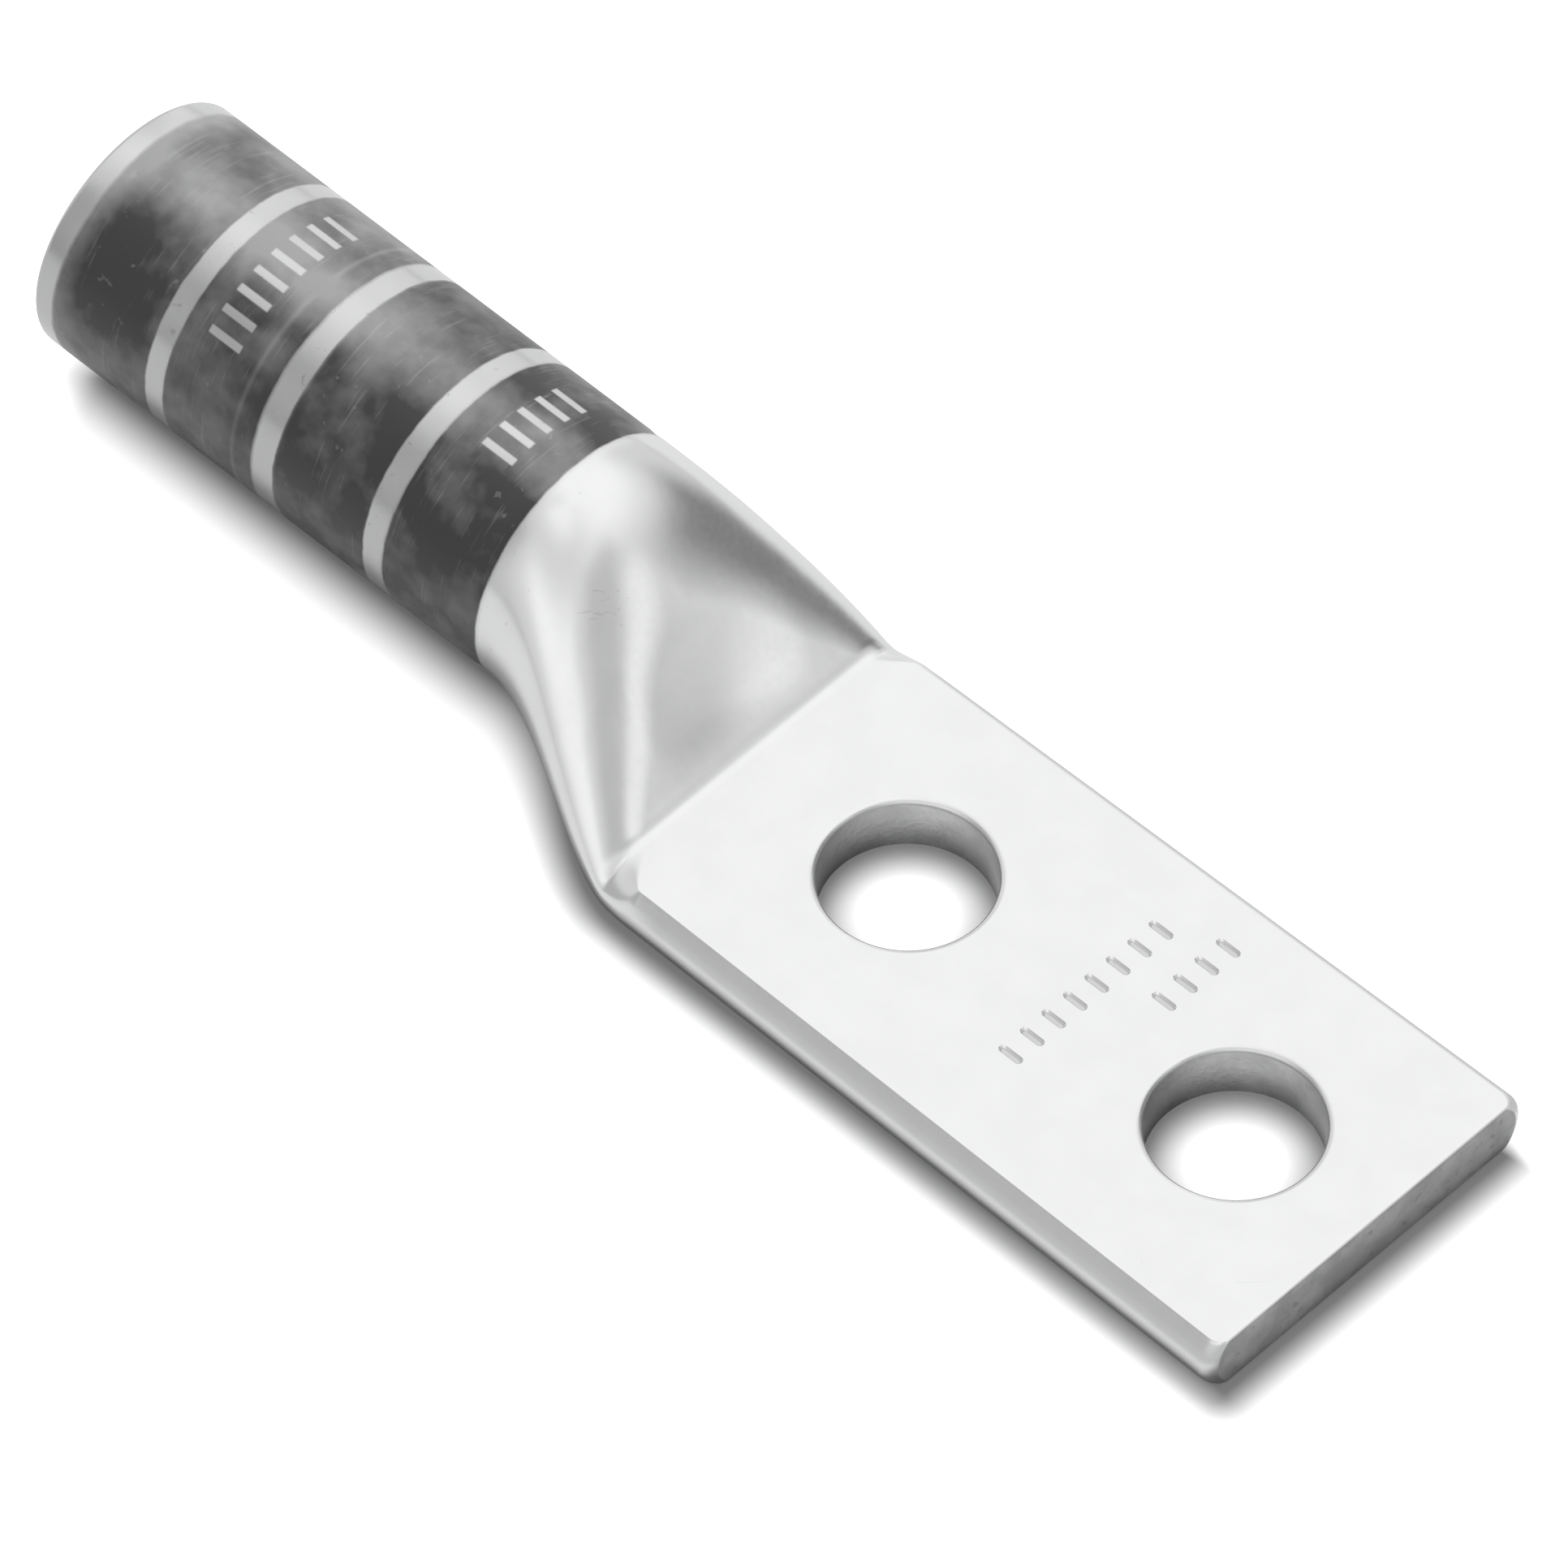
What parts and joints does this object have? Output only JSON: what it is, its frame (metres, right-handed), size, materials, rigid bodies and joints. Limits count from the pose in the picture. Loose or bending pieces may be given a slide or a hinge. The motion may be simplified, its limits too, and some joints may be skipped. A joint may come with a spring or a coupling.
{
  "type": "two-hole compression lug",
  "caption": "Compression lug pressed from tube: its round barrel is crimped on a cable's wire, and its flat tongue is bolted to a busbar, pad or frame.",
  "frame": {"origin": "on the tongue's underside, midway between the stud holes", "axes": "+X from the barrel to the tongue's free end, +Z out of the tongue's top face"},
  "size_m": [0.0968, 0.0258, 0.0182],
  "materials": {
    "tinned_copper": "bright satin tin plate over copper, with worn black ink and bare rings on the barrel"
  },
  "bodies": {
    "root": {"lug": "tinned_copper"}
  },
  "joints": []
}
